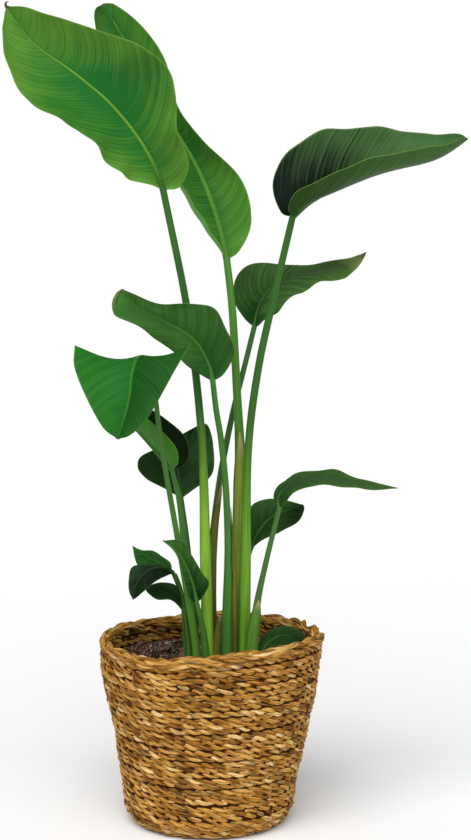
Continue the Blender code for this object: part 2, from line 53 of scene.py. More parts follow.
bpy.context.collection.objects.link(camera)
bpy.context.scene.camera = camera
bpy.context.scene.view_settings.view_transform = "Standard"

# ---------------------------------------------------------------- basket wall
# Dried seagrass, twined by hand: each row is two strands twisted round each other and round the
# upright stakes. The strands are golden, orange brown or straw, and change from turn to turn.
FOOT_RADIUS = 0.078
TOP_RADIUS = 0.1375
WALL_TOP = 0.224
RIM_HEIGHT = 0.2345
ARC_STEP = 0.00114  # in height, to measure the rows' places along the wall
ROW_PITCH = 0.0074
ROW_DEPTH = 0.0042  # from the wall's outside in to the middle of a row
LOWEST_ROW = 0.0058  # its strands just reach the floor
TWIST_LENGTH = 0.031  # of one whole turn of a row's two strands
STRAND_STEP = 0.0026  # between a strand's rings of points
STRAND_SIDES = 8
STREAK_RATE = 45.0  # how fast the streaks change from place to place
OUTER_OPEN = 0.8
RIM_DIPS = [0, 0, -1, 0, -7, -4, -4, -6, -7, 1, 5, 5]  # in mm, at every 30 degrees from the right
# Shares of the wall's spread and of its height, from its foot to its top.
WALL_SHAPE = [(0.0, 0.0), (0.20, 0.036), (0.38, 0.10), (0.46, 0.19), (0.60, 0.385),
              (0.75, 0.61), (0.88, 0.74), (0.97, 0.87), (1.0, 1.0)]
# Heights, and how many mm the hand-made wall bulges out there on the right and on the left.
BELLY = [(0.0, 9, 15), (0.015, 6.5, 14), (0.030, 3, 11), (0.060, 1.5, 8.5), (0.090, 3, 8),
         (0.120, 4, 5.5), (0.150, 4, 5.5), (0.180, 2, 5.5), (0.200, 1, 5.5), (0.217, 3.5, 6),
         (0.235, 0, 0)]
GRASS_TONES = (0.26, 0.36, 0.42, 0.46, 0.5, 0.52, 0.55, 0.6, 0.66, 0.8)


def around(angle, out, up=0.0):
    """The point at an angle round the upright axis, a distance out from it, and at a height."""
    return out * math.cos(angle), out * math.sin(angle), up


def paint(red, green, blue):
    """A colour as a shader takes it, from the 0 to 255 values that a paint chart gives."""
    return tuple((c / 255 / 12.92) if c < 11 else ((c / 255 + 0.055) / 1.055) ** 2.4
                 for c in (red, green, blue)) + (1.0,)


def add_piece(name, shape, material, replaces):
    """Makes a piece from {"points", "faces", and a list of numbers per point for each pattern}."""
    mesh = bpy.data.meshes.new(name)
    mesh.from_pydata(shape["points"], [], shape["faces"])
    for pattern, values in shape.items():
        if pattern not in ("points", "faces"):
            layer = mesh.attributes.new(pattern, "FLOAT", "POINT")
            layer.data.foreach_set("value", values)
    mesh.shade_smooth()
    piece = bpy.data.objects.new(name, mesh)
    mesh.materials.append(material)
    bpy.context.collection.objects.link(piece)
    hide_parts(*replaces)
    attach(piece, "root")
    return piece


def new_material(name, roughness, shine=0.5):
    material = bpy.data.materials.new(name)
    material.use_nodes = True
    shader = material.node_tree.nodes["Principled BSDF"]
    shader.inputs["Roughness"].default_value = roughness
    shader.inputs["Specular IOR Level"].default_value = shine
    return material, shader


def add_node(kind, inputs, tree=None, **settings):
    """A shader node with its settings. An input is a value, or another node's socket to link; the
    new node joins the node tree of those sockets."""
    sockets = [value for value in inputs.values() if isinstance(value, bpy.types.NodeSocket)]
    tree = tree or sockets[0].id_data
    node = tree.nodes.new(kind)
    for setting, value in settings.items():
        setattr(node, setting, value)
    for socket, value in inputs.items():
        if value in sockets:
            tree.links.new(value, node.inputs[socket])
        else:
            node.inputs[socket].default_value = value
    return node


def position(material):
    return add_node("ShaderNodeTexCoord", {}, material.node_tree).outputs["Object"]


def pattern(material, name):
    node = add_node("ShaderNodeAttribute", {}, material.node_tree, attribute_name=name)
    return node.outputs["Fac"]


def maths(operation, *values):
    return add_node("ShaderNodeMath", dict(enumerate(values)), operation=operation).outputs[0]


def times(first, second):
    return maths("MULTIPLY", first, second)


def join(x, y, z):
    return add_node("ShaderNodeCombineXYZ", {0: x, 1: y, 2: z}).outputs[0]


def cloud(vector, scale, detail=2.0):
    inputs = {"Vector": vector, "Scale": scale, "Detail": detail}
    return add_node("ShaderNodeTexNoise", inputs).outputs["Fac"]


def ramp(source, *stops):
    """A colour ramp from (place, colour) stops."""
    node = add_node("ShaderNodeValToRGB", {"Fac": source})
    marks = node.color_ramp.elements
    while len(marks) < len(stops):
        marks.new(0.5)
    for mark, (place, colour) in zip(marks, stops):
        mark.position = place
        mark.color = colour
    return node.outputs["Color"]


def grey(level):
    return (level, level, level, 1.0)


def fade(source, first, last, low=0.0, high=1.0):
    """A ramp in grey, from low where the source is first to high where it is last."""
    return ramp(source, (first, grey(low)), (last, grey(high)))


def mix(factor, first, second, blend="MIX"):
    node = add_node("ShaderNodeMix", {0: factor, 6: first, 7: second},
                    data_type="RGBA", blend_type=blend)
    return node.outputs[2]


def finish(shader, colour, height, strength, distance):
    """Gives a material its colour and the fine relief of its surface."""
    relief = {"Height": height, "Strength": strength, "Distance": distance}
    normal = add_node("ShaderNodeBump", relief).outputs["Normal"]
    shader.id_data.links.new(colour, shader.inputs["Base Color"])
    shader.id_data.links.new(normal, shader.inputs["Normal"])


def seagrass_material(name, dimming=1.0):
    """Streaked dry grass. Tone is how pale a strand is, and lie where a point lies round it. Open
    is 0 where strands touch, which are painted dark there as painted shade, up to OUTER_OPEN on the
    outside and 1 on the inside, which is painted paler as painted light."""
    material, shader = new_material(name, 0.65, 0.12)
    split = add_node("ShaderNodeSeparateXYZ", {0: position(material)})
    grain = [times(split.outputs[axis], STREAK_RATE) for axis in "XY"]
    lie = pattern(material, "lie")
    streaks = cloud(join(*grain, lie), 1.0, 3.0)
    folds = cloud(join(*grain, times(lie, 0.3)), 0.7)
    tone = maths("ADD", pattern(material, "tone"), times(maths("SUBTRACT", streaks, 0.5), 1.9))
    straw = ramp(tone, (0.0, paint(66, 37, 8)), (0.24, paint(138, 86, 26)),
                 (0.50, paint(184, 131, 54)), (0.74, paint(208, 162, 84)),
                 (1.0, paint(236, 204, 150)))
    # Painted shade along the strands' folds.
    shade = fade(folds, 0.36, 0.48, 0.40 * dimming, dimming)
    straw = mix(1.0, straw, shade, "MULTIPLY")
    # Painted shade where strands touch, and painted light on the inside of the wall.
    painted_shade_and_light = ramp(pattern(material, "open"), (0.16, (0.16, 0.11, 0.06, 1.0)), (0.50, grey(1.0)),
                (OUTER_OPEN, grey(1.0)), (1.0, grey(1.5)))
    finish(shader, mix(1.0, straw, painted_shade_and_light, "MULTIPLY"), maths("ADD", streaks, folds), 0.8, 0.0018)
    return material


def wall_radius(height):
    """The radius of the basket's outside at a height."""
    share = min(max(height / WALL_TOP, 0.0), 1.0)
    for (out, up), (next_out, next_up) in zip(WALL_SHAPE, WALL_SHAPE[1:]):
        if share <= next_up:
            out += (next_out - out) * (share - up) / (next_up - up)
            return FOOT_RADIUS + out * (TOP_RADIUS - FOOT_RADIUS)


def dip(angle, height):
    """How far the hand-made wall rises or sags, most at its rim."""
    place = math.degrees(angle) % 360 / 30
    first, share = int(place), place - int(place)
    share = share * share * (3 - 2 * share)
    step = RIM_DIPS[first % 12] * (1 - share) + RIM_DIPS[(first + 1) % 12] * share
    return step * 0.001 * (height / RIM_HEIGHT) ** 4


def belly(angle, height):
    """How far the wall bulges outwards, by BELLY."""
    for (low, *near), (high, *far) in zip(BELLY, BELLY[1:]):
        if height <= high:
            share = max(0.0, height - low) / (high - low)
            right, left = (first + (second - first) * share for first, second in zip(near, far))
            return 0.0005 * (right * (1 + math.cos(angle)) + left * (1 - math.cos(angle)))
    return 0.0


def wander(angle, rate, seed):
    """A smooth, seeded, closed wave round the basket, between about -1 and 1."""
    return 2 * noise.noise(Vector(around(angle, rate, seed * 3.7)))


def join_rings(shape, first, second, count):
    """Faces between two closed rings of points, which start at two places in a shape's points."""
    for here in range(count):
        beside = (here + 1) % count
        shape["faces"].append((first + here, first + beside, second + beside, second + here))


def new_shape(*patterns):
    return {name: [] for name in ("points", "faces", *patterns)}


def add_strand(shape, strand, radius, topmost=0.0):
    """Adds one closed strand. strand(angle) gives its centre's radius and height, its half width
    and half height there, and its tone. Topmost is 1 if nothing lies on the strand."""
    steps = int(math.tau * radius / STRAND_STEP)
    start = len(shape["points"])
    seed = random.random() * 90
    for step in range(steps):
        angle = math.tau * step / steps
        out, up, wide, tall, tone = strand(angle)
        for side in range(STRAND_SIDES):
            turn = math.tau * side / STRAND_SIDES
            facing, rising = math.cos(turn), math.sin(turn)
            shape["points"].append(around(angle, out + wide * facing, up + tall * rising))
            shape["tone"].append(tone)
            shape["lie"].append(seed + 8 * abs(side * 2 / STRAND_SIDES - 1))
            shape["open"].append(max(OUTER_OPEN * facing, -facing, OUTER_OPEN * topmost * rising))
        ahead = (step + 1) % steps
        join_rings(shape, start + step * STRAND_SIDES, start + ahead * STRAND_SIDES, STRAND_SIDES)


def grass_tones(count):
    """A tone for each half turn of a strand: mostly golden, some orange brown, some pale straw."""
    return [random.choice(GRASS_TONES) + random.uniform(-0.06, 0.06) for _ in range(count)]


def add_twined_row(shape, radius, height, ply=0.0029, twist=0.0017, sag=1.0):
    """Two strands twisted round each other, right round the basket. Ply is a strand's half
    thickness, twist how far it stands from the row's middle, and sag 1 if it follows the wall."""
    turns = max(3, round(math.tau * radius / TWIST_LENGTH))
    lead = random.random() * math.tau
    seed = random.random() * 50
    for half in range(2):
        tones = grass_tones(2 * turns)
        girths = [random.uniform(0.84, 1.16) for _ in range(2 * turns)]

        def strand(angle):
            phase = lead + half * math.pi + turns * angle + 0.9 * wander(angle, 4.0, seed)
            part = int(phase / math.pi + 0.5) % (2 * turns)
            swell = ply * girths[part] * (0.74 + 0.34 * math.cos(phase) ** 2)
            out = radius + twist * math.cos(phase) + 0.0006 * wander(angle, 2.5, seed + 9) \
                + sag * belly(angle, height)
            up = height - twist * 1.15 * math.sin(phase) \
                + 0.0009 * wander(angle, 1.6, seed + 20) \
                + 0.0007 * wander(angle, 9.0, seed + 33) + sag * dip(angle, height)
            return out, up, swell * 0.85, swell * 1.05, tones[part]

        add_strand(shape, strand, radius)


random.seed(31)
seagrass = seagrass_material("seagrass")
arc = [(wall_radius(step * ARC_STEP), step * ARC_STEP) for step in range(201)]
run = 0.0
rows = []
for (radius, height), (next_radius, next_height) in zip(arc, arc[1:]):
    run += math.hypot(next_radius - radius, next_height - height)
    if run > ROW_PITCH * (len(rows) + 0.55):
        rows.append((radius, height))
half_way = len(rows) // 2
for name, part in (("basket_wall_lower", rows[:half_way]), ("basket_wall_upper", rows[half_way:])):
    shape = new_shape("tone", "lie", "open")
    for radius, height in part:
        add_twined_row(shape, radius - ROW_DEPTH, max(height, LOWEST_ROW))
    add_piece(name, shape, seagrass, ["basket"])

# ---------------------------------------------------------------- basket stakes
# Upright stakes of seagrass stand side by side inside the wall, and show only in the gaps between
# its rows. They are painted dark brown, as painted shade for those gaps.
STAKES = 64
STAKES_OUTSIDE = 0.0036  # both from the wall's outside in
STAKES_INSIDE = 0.0050


def turned(profile, sides, ripple=None):
    """A closed solid of revolution from (radius, height) pairs that run round its section."""
    shape = new_shape()
    for step in range(sides):
        angle = math.tau * step / sides
        for place, (radius, height) in enumerate(profile):
            out, up = ripple(angle, radius, height) if ripple else (radius, height)
            shape["points"].append(around(angle, out, up))
            low = step * len(profile)
            high = (step + 1) % sides * len(profile)
            beside = (place + 1) % len(profile)
            shape["faces"].append((low + place, high + place, high + beside, low + beside))
    return shape


# The stakes' dark brown is painted shade for the gaps between the rows.
stakes, shader = new_material("seagrass stakes in painted shade", 0.9, 0.05)
stretch = add_node("ShaderNodeMapping", {"Vector": position(stakes), "Scale": (700.0, 700.0, 40.0)})
body = ramp(cloud(stretch.outputs["Vector"], 1.0, 3.0), (0.3, paint(32, 18, 6)),
            (0.7, paint(74, 44, 16)))
stakes.node_tree.links.new(body, shader.inputs["Base Color"])
levels = [0.004 + step * 0.0192 for step in range(13)]
profile = [(wall_radius(z) - STAKES_OUTSIDE, z) for z in levels]
profile += [(wall_radius(z) - STAKES_INSIDE, z) for z in reversed(levels)]


def staked(angle, radius, height):
    """The stakes stand out as ribs, and lean with the wall."""
    rib = 0.0005 * math.cos(STAKES * angle)
    return radius + rib + belly(angle, height), height + dip(angle, height)


shape = turned(profile, 6 * STAKES, staked)
add_piece("basket_stakes", shape, stakes, ["basket"])

# ---------------------------------------------------------------- basket border
# The rim is a border of four loose bundles twisted together and bound over the stakes' ends. Each
# bundle is four seagrass strands, so it rises in scallops along the top.
BUNDLES = 4
STRANDS_IN_BUNDLE = 4
BORDER_TURNS = 10
shape = new_shape("tone", "lie", "open")
for bundle in range(BUNDLES):
    for member in range(STRANDS_IN_BUNDLE):
        tones = grass_tones(2 * BORDER_TURNS)
        girths = [random.uniform(0.8, 1.2) for _ in range(2 * BORDER_TURNS)]
        seed = random.random() * 50

        def strand(angle):
            phase = BORDER_TURNS * angle + math.tau * bundle / BUNDLES \
                + 0.9 * wander(angle, 2.6, 4.0 + bundle)
            part = int(phase / math.pi + 0.5) % (2 * BORDER_TURNS)
            inner = -15 * angle + math.tau * member / STRANDS_IN_BUNDLE + 0.5 * phase
            swell = 0.0021 * girths[part] * (1 + 0.25 * wander(angle, 9.0, seed))
            out = TOP_RADIUS - 0.0022 + 0.0040 * math.cos(phase) + 0.0021 * math.cos(inner) \
                + 0.0011 * wander(angle, 7.0, seed + 3)
            up = RIM_HEIGHT - 0.0042 * math.sin(phase) - 0.0021 * math.sin(inner) \
                + dip(angle, RIM_HEIGHT) + 0.0011 * wander(angle, 7.0, seed + 12)
            return out, up, swell, swell, tones[part]

        add_strand(shape, strand, TOP_RADIUS, topmost=1.0)
add_piece("basket_border", shape, seagrass, ["basket"])

# ---------------------------------------------------------------- basket bottom
# The bottom is twined in the same way, in rings from the middle out to the foot.
BOTTOM_HEIGHT = 0.0048
shape = new_shape("tone", "lie", "open")
ring = 0.0
while ring < FOOT_RADIUS:
    ring += ROW_PITCH * 0.9
    add_twined_row(shape, ring - 0.0035, BOTTOM_HEIGHT, ply=0.0024, twist=0.0013, sag=0.0)
# This copy is painted darker all over, as painted shade on the basket's underside.
bottom = seagrass_material("seagrass underside", 0.85)
add_piece("basket_bottom", shape, bottom, ["basket"])

# ---------------------------------------------------------------- plastic liner
# A thin, dark, shiny film lines the basket. It is folded down inside the wall and crinkled all
# over, and its creases are pale in places: partly whitened by wear, partly painted highlight
# where they would catch the light.
LINER_TOP = 0.212
LINER_FLOOR = 0.0095
LIP_FOOT = 0.15  # above this, the film's edge waves up and down
LINER_DEPTH = 0.0092  # from the basket's outside in
FILM = 0.0004
AXIS = 0.0002  # how near the middle the turned pieces come
film, shader = new_material("liner film", 0.12, 1.0)
where = position(film)
body = ramp(cloud(where, 42.0, 4.0), (0.40, paint(74, 52, 40)), (0.56, paint(132, 94, 74)),
            (0.66, paint(150, 74, 50)))
split = add_node("ShaderNodeSeparateXYZ", {0: where})
shifted = [maths("ADD", split.outputs[axis], times(cloud(where, 70.0 + 20 * axis), 0.02))
           for axis in range(3)]
cells = {"Vector": join(*shifted), "Scale": 115.0}
creases = add_node("ShaderNodeTexVoronoi", cells, feature="DISTANCE_TO_EDGE").outputs["Distance"]
# Pale creases: partly wear, partly painted highlight standing in for glints.
pale_wear_and_glints = times(fade(creases, 0.0, 0.06, 1.0, 0.0), fade(cloud(where, 90.0), 0.48, 0.60, 0.0, 0.8))
finish(shader, mix(pale_wear_and_glints, body, paint(206, 190, 188)),
       maths("ADD", creases, times(cloud(where, 260.0), 0.5)), 1.0, 0.005)


def crinkled(angle, radius, height):
    """Folds stand inwards from the wall, so that the film never comes through it."""
    if radius < 0.02:
        return radius, height
    place = Vector(around(angle, radius, height * 1.6))
    fold = abs(noise.noise(place * 45)) * 0.006 + abs(noise.noise(place * 120)) * 0.0035 \
        + abs(noise.noise(place * 260)) * 0.0014
    lip = 0.005 * noise.noise(Vector(around(angle, 4.0, 1.0)))
    share = max(0.0, (height - LIP_FOOT) / (LINER_TOP - LIP_FOOT))
    return radius - fold, height + lip * share + dip(angle, height)


levels = [LINER_FLOOR + (LINER_TOP - LINER_FLOOR) * step / 90 for step in range(91)]
walls = [(wall_radius(z) - LINER_DEPTH - 0.010 * max(0.0, 1 - (z - LINER_FLOOR) / 0.03), z)
         for z in levels]
inner = [(radius - FILM, z + FILM) for radius, z in reversed(walls)]
profile = [(AXIS, LINER_FLOOR), *walls, *inner, (AXIS, LINER_FLOOR + FILM)]
add_piece("plastic_liner", turned(profile, 420, crinkled), film, ["plastic_liner"])

# ---------------------------------------------------------------- nursery pot
# The plant grows in a thin, moulded, black plastic pot with a turned-out rim. It stands on the
# film.
POT_FLOOR = 0.0105
POT_TOP = 0.1842
pot_plastic, shader = new_material("black pot plastic", 0.42)
where = position(pot_plastic)
body = ramp(cloud(where, 60.0, 4.0), (0.35, paint(20, 20, 21)), (0.75, paint(38, 37, 37)))
finish(shader, body, cloud(where, 500.0), 0.2, 0.0004)
profile = [(AXIS, POT_FLOOR), (0.064, POT_FLOOR), (0.0672, POT_FLOOR + 0.0008),
           (0.0684, POT_FLOOR + 0.0035), (0.0762, 0.06), (0.0848, 0.105), (0.09, 0.13),
           (0.0915, 0.1306), (0.1002, 0.1712), (0.1015, 0.1722), (0.1052, 0.1722),
           (0.1062, 0.1732), (0.108, 0.1826), (0.1078, 0.184), (0.1066, POT_TOP),
           (0.1038, POT_TOP), (0.1024, 0.1832), (0.098, 0.164), (0.0885, 0.124), (0.0742, 0.055),
           (0.0668, POT_FLOOR + 0.005), (0.0655, POT_FLOOR + 0.0017), (AXIS, POT_FLOOR + 0.0017)]
pot = add_piece("nursery_pot", turned(profile, 160), pot_plastic, ["nursery_pot"])
pot.data.set_sharp_from_angle(angle=math.radians(50))

# ---------------------------------------------------------------- potting soil
# Dark, moist, crumbly mix fills the pot to a little under its rim, with bits of bark and fibre on
# top.
SOIL_LEVEL = 0.1712
SOIL_RADIUS = 0.0985
SOIL_CENTRE = 0.0003
RINGS = 60
SPOKES = 180
CRUMBS = 420
CRUMB_SIDES = 6
soil, shader = new_material("potting soil", 0.92)
crumbs = cloud(position(soil), 260.0, 5.0)
body = ramp(crumbs, (0.36, paint(26, 18, 12)), (0.55, paint(58, 42, 30)), (0.7, paint(96, 72, 50)))
finish(shader, body, crumbs, 0.9, 0.003)


def mound(share):
    """The soil's height at a share of its radius, without lumps: a little more in the middle."""
    return SOIL_LEVEL + 0.003 * (1 - share ** 2)


shape = new_shape()
for ring in range(RINGS + 1):
    for spoke in range(SPOKES):
        out = SOIL_CENTRE + (SOIL_RADIUS - SOIL_CENTRE) * ring / RINGS
        x, y, _ = around(math.tau * spoke / SPOKES, out)
        lumps = 0.0035 * noise.noise(Vector((x, y, 0.0)) * 60) \
            + 0.0022 * noise.noise(Vector((x, y, 3.0)) * 190)
        height = mound(ring / RINGS) + lumps * (1 - (ring / RINGS) ** 8)
        shape["points"].append((x, y, height))
for ring in range(RINGS):
    for spoke in range(SPOKES):
        low, beside = ring * SPOKES + spoke, ring * SPOKES + (spoke + 1) % SPOKES
        shape["faces"].append((low, low + SPOKES, beside + SPOKES, beside))
top = RINGS * SPOKES
base = len(shape["points"]) + SPOKES
for radius, height in ((SOIL_RADIUS, SOIL_LEVEL), (0.0645, POT_FLOOR + 0.0022)):
    for spoke in range(SPOKES):
        shape["points"].append(around(math.tau * spoke / SPOKES, radius, height))
for spoke in range(SPOKES):
    after = (spoke + 1) % SPOKES
    shape["faces"].append((top + spoke, base + spoke, base + after, top + after))
shape["faces"].append(tuple(base + spoke for spoke in reversed(range(SPOKES))))
shape["faces"].append(tuple(reversed(range(SPOKES))))
for _ in range(CRUMBS):
    out, angle = SOIL_RADIUS * 0.97 * math.sqrt(random.random()), random.random() * math.tau
    centre = Vector(around(angle, out, mound(out / SOIL_RADIUS)))
    reach = random.choice((0.0012, 0.0016, 0.002, 0.0026, 0.0036))
    lie, start = random.random() * math.tau, len(shape["points"])
    for tier in (-0.7, 0.0, 0.8):
        for corner in range(CRUMB_SIDES):
            turn = math.tau * corner / CRUMB_SIDES + lie
            spread = reach * random.uniform(0.6, 1.1) * (1 - 0.55 * abs(tier))
            along, across, up = around(turn, spread, tier * reach * 0.6)
            shape["points"].append(tuple(centre + Vector((along * 1.4, across, up))))
    for ring in (start, start + CRUMB_SIDES):
        join_rings(shape, ring, ring + CRUMB_SIDES, CRUMB_SIDES)
    shape["faces"].append(tuple(start + corner for corner in reversed(range(CRUMB_SIDES))))
    shape["faces"].append(tuple(ring + CRUMB_SIDES + corner for corner in range(CRUMB_SIDES)))
add_piece("potting_soil", shape, soil, ["potting_soil"])

# ---------------------------------------------------------------- leaf blades
# Each blade is a thin, tough, waxy paddle on one strong midrib. Fine side veins run out from it and
# bend towards the tip; the surface ripples between them, and the margin is thin and pale.
#
# One call for each leaf, in millimetres. The rib is the midrib from the stalk to the tip; left and
# right are the margins, seen from above the upper face, without the two ends that they share with
# the rib. The stalk runs from inside the soil to the foot of the rib, and thick is its radius at
# each of its points and there. Cup is how far each half bows, as a share of its width: minus bows
# it down.
LEAVES = {}


def add_leaf(name, thick, cup, **lines):
    """Notes the shape of a leaf in LEAVES, in metres."""
    leaf = {"thick": [radius / 1000 for radius in thick], "cup": cup}
    for line, points in lines.items():
        leaf[line] = [tuple(value / 1000 for value in point) for point in points]
    LEAVES[name] = leaf


add_leaf(
    "top_left",
    rib=[(-59, -20, 800), (-78, -35, 847), (-116, -50, 898), (-162, -55, 938), (-215, -50, 977),
         (-246, -40, 1020)],
    left=[(-84, -50, 809), (-118, -80, 827), (-143, -90, 856), (-171, -100, 881), (-203, -105, 893),
          (-232, -100, 928), (-247, -85, 970), (-248, -55, 1007)],
    right=[(-38, -20, 804), (-27, -35, 833), (-40, -50, 872), (-46, -65, 933), (-78, -70, 968),
           (-129, -70, 987), (-186, -65, 1006), (-226, -55, 1017)],
    stalk=[(-5, 12, 129), (-5, 10, 216), (-8, 6, 320), (-11, 0, 462), (-19, -4, 564),
           (-32, -10, 664)],
    thick=[8, 7.5, 6.8, 5.2, 4.8, 4.5, 4.2], cup=(-0.1, -0.12))
add_leaf(
    "top_centre",
    rib=[(19, 30, 713), (8, 45, 763), (-16, 60, 826), (-51, 65, 887), (-93, 60, 961),
         (-136, 50, 1032)],
    left=[(6, 5, 741), (-15, -5, 773), (-36, 0, 805), (-76, 10, 874), (-116, 15, 936),
          (-141, 20, 997), (-144, 30, 1023)],
    right=[(36, 30, 725), (50, 35, 765), (36, 45, 816), (-11, 50, 863), (-43, 55, 906),
           (-59, 60, 964), (-87, 60, 1005), (-121, 55, 1032)],
    stalk=[(36, 18, 127), (36, 18, 214), (36, 18, 331), (36, 17, 460), (31, 17, 562),
           (26, 20, 650)],
    thick=[10, 10, 9.5, 8, 5.5, 5, 4.5], cup=(-0.25, -0.15))
add_leaf(
    "top_right",
    rib=[(101, 0, 767), (123, 0, 789), (160, 5, 810), (216, 10, 831), (272, 10, 841),
         (319, 10, 863)],
    left=[(85, 24, 776), (77, 48, 811), (97, 60, 849), (144, 65, 878), (207, 60, 878),
          (269, 45, 871), (308, 25, 870)],
    right=[(95, -28, 780), (106, -52, 798), (138, -65, 815), (170, -70, 833), (223, -60, 845),
           (273, -40, 852), (309, -10, 864)],
    stalk=[(40, -3, 133), (41, -2, 219), (43, -2, 335), (46, -1, 475), (58, -4, 575),
           (77, -3, 664)],
    thick=[7.8, 7.5, 6.5, 5, 4.8, 4.5, 4.2], cup=(-0.18, -0.2))
add_leaf(
    "mid_right",
    rib=[(54, 60, 626), (61, 70, 654), (78, 80, 677), (117, 85, 692), (158, 80, 703),
         (187, 70, 710), (197, 65, 722)],
    left=[(40, 75, 638), (28, 90, 660), (32, 105, 690), (62, 115, 707), (114, 115, 709),
          (166, 100, 708), (190, 80, 718)],
    right=[(64, 50, 631), (79, 35, 649), (102, 35, 667), (127, 40, 682), (154, 45, 686),
           (182, 55, 696), (194, 60, 715)],
    stalk=[(-3, 34, 124), (-3, 34, 224), (-1, 33, 329), (9, 34, 426), (26, 43, 515), (40, 52, 570)],
    thick=[7.2, 7, 6.2, 4.5, 4, 3.6, 3.4], cup=(-0.15, 0.12))
add_leaf(
    "mid_left",
    rib=[(2, -35, 565), (-5, -45, 592), (-23, -55, 620), (-56, -62, 640), (-88, -70, 658),
         (-107, -72, 680)],
    left=[(-10, -43, 572), (-28, -60, 586), (-46, -72, 606), (-73, -85, 627), (-103, -90, 643),
          (-116, -85, 651), (-116.5, -77, 666)],
    right=[(16, -30, 574), (31, -22, 598), (19, -30, 628), (5, -40, 656), (-26, -45, 662),
           (-62, -52, 661), (-95, -67, 675)],
    stalk=[(19, -8, 134), (20, -8, 220), (21, -10, 336), (18, -13, 426), (12, -18, 490),
           (6, -24, 528)],
    thick=[8.5, 8.2, 7.2, 4.8, 4.2, 3.8, 3.5], cup=(0.1, -0.15))
add_leaf(
    "drooping_left",
    rib=[(-70, -78, 578), (-74, -94, 597), (-85, -118, 603), (-92, -141, 585), (-96, -154, 551),
         (-109, -152, 507)],
    left=[(-49, -78, 590), (-27, -94, 610), (-26, -110, 613), (-44, -135, 583), (-61, -148, 552),
          (-76, -155, 529), (-94, -156, 512)],
    right=[(-104, -82, 590), (-138, -95, 603), (-157, -112, 613), (-161, -116, 615.5),
           (-161.5, -121, 612), (-160, -143, 591), (-146, -159, 559), (-126, -160, 522)],
    stalk=[(-15, -6, 134), (-20, -12, 221), (-29, -20, 287), (-46, -40, 392), (-54, -54, 444),
           (-63, -72, 509)],
    thick=[5.5, 5.2, 4.8, 3.8, 3.4, 3.2, 3], cup=(-0.1, -0.1))
add_leaf(
    "low_left_front",
    rib=[(-49, -20, 452), (-61, -22, 469), (-76, -26, 486), (-92, -30, 503), (-106, -34, 515)],
    left=[(-41, -42, 464), (-42, -54, 483), (-54, -60, 501), (-72, -60, 518), (-90, -54, 528)],
    right=[(-35, 6, 455), (-28, 16, 472), (-35, 16, 493), (-55, 10, 512), (-77, -2, 527),
           (-95, -18, 529)],
    stalk=[(-26, 10, 130), (-27, 9, 216), (-30, 6, 282), (-36, -6, 361), (-41, -14, 413)],
    thick=[5.2, 5, 4.6, 3.8, 3.4, 3], cup=(-0.1, -0.12))
add_leaf(
    "low_left_back",
    rib=[(-39, 20, 410), (-42, 30, 433), (-44, 40, 457), (-35, 45, 482), (-28, 40, 496)],
    left=[(-60, 15, 424), (-85, 10, 443), (-94, 20, 452), (-90, 35, 463), (-61, 50, 475)],
    right=[(-22, 25, 423), (1, 30, 442), (1, 40, 476), (-7, 45, 503)],
    stalk=[(-20, 24, 126), (-21, 24, 213), (-26, 23, 291), (-32, 22, 356)],
    thick=[5.2, 5, 4.5, 3.6, 3], cup=(-0.1, -0.1))
add_leaf(
    "low_right",
    rib=[(85, -20, 404), (85, -15, 420), (101, -10, 434), (136, -8, 441), (186, -10, 433),
         (234, -10, 428)],
    left=[(79, 0, 416), (87, 15, 432), (112, 30, 442), (151, 30, 444), (194, 10, 435)],
    right=[(91, -30, 412), (104, -40, 427), (132, -45, 434), (166, -35, 433), (205, -20, 427)],
    stalk=[(52, -24, 139), (51, -26, 224), (57, -26, 282), (66, -24, 326), (75, -22, 364)],
    thick=[8.5, 8, 6.2, 4, 3.4, 3], cup=(-0.1, 0.1))
add_leaf(
    "low_right_back",
    rib=[(50, 40, 342), (59, 45, 363), (77, 50, 382), (98, 45, 392), (117, 40, 399)],
    left=[(46, 55, 364), (49, 65, 392), (68, 70, 402), (94, 60, 402)],
    right=[(64, 30, 354), (87, 20, 368), (110, 25, 379), (118, 35, 393)],
    stalk=[(25, 42, 121), (28, 42, 208), (33, 41, 275), (40, 40, 311)],
    thick=[5.2, 5, 4.2, 3.4, 2.8], cup=(-0.1, -0.1))
add_leaf(
    "base_left_upper",
    rib=[(-51, 12, 318), (-66, 6, 330), (-83, 0, 340), (-100, -4, 353)],
    left=[(-66, -6, 321), (-83, -14, 326), (-95, -16, 332)],
    right=[(-53, 22, 327), (-64, 24, 335), (-75, 18, 343), (-89, 6, 346)],
    stalk=[(-31, 21, 126), (-32, 21, 200), (-34, 22, 245), (-40, 20, 285)],
    thick=[3.2, 3, 2.6, 2.2, 2], cup=(-0.1, -0.1))
add_leaf(
    "base_left_middle",
    rib=[(-45, -20, 319), (-58, -25, 329), (-77, -32, 329), (-92, -38, 315), (-98, -40, 292)],
    left=[(-52, -30, 322), (-70, -45, 315), (-81, -48, 307), (-92, -45, 296)],
    right=[(-50, -16, 325), (-71, -22, 332), (-98, -28, 332), (-104, -34, 315), (-103, -38, 301)],
    stalk=[(-28, -8, 136), (-29, -9, 209), (-33, -9, 261), (-38, -14, 297)],
    thick=[3.2, 3, 2.6, 2.2, 2], cup=(-0.1, -0.1))
add_leaf(
    "base_left_lower",
    rib=[(-37, -4, 272), (-47, -6, 287), (-64, -9, 296), (-84, -11, 299)],
    left=[(-40, -15, 277), (-52, -24, 288), (-68, -23, 289), (-79, -16, 294)],
    right=[(-37, 6, 284), (-46, 9, 301), (-64, 6, 305), (-78, -4, 303)],
    stalk=[(-32, -1, 132), (-33, -1, 192), (-35, -1, 238)],
    thick=[3.2, 3, 2.4, 1.8], cup=(-0.1, -0.1))
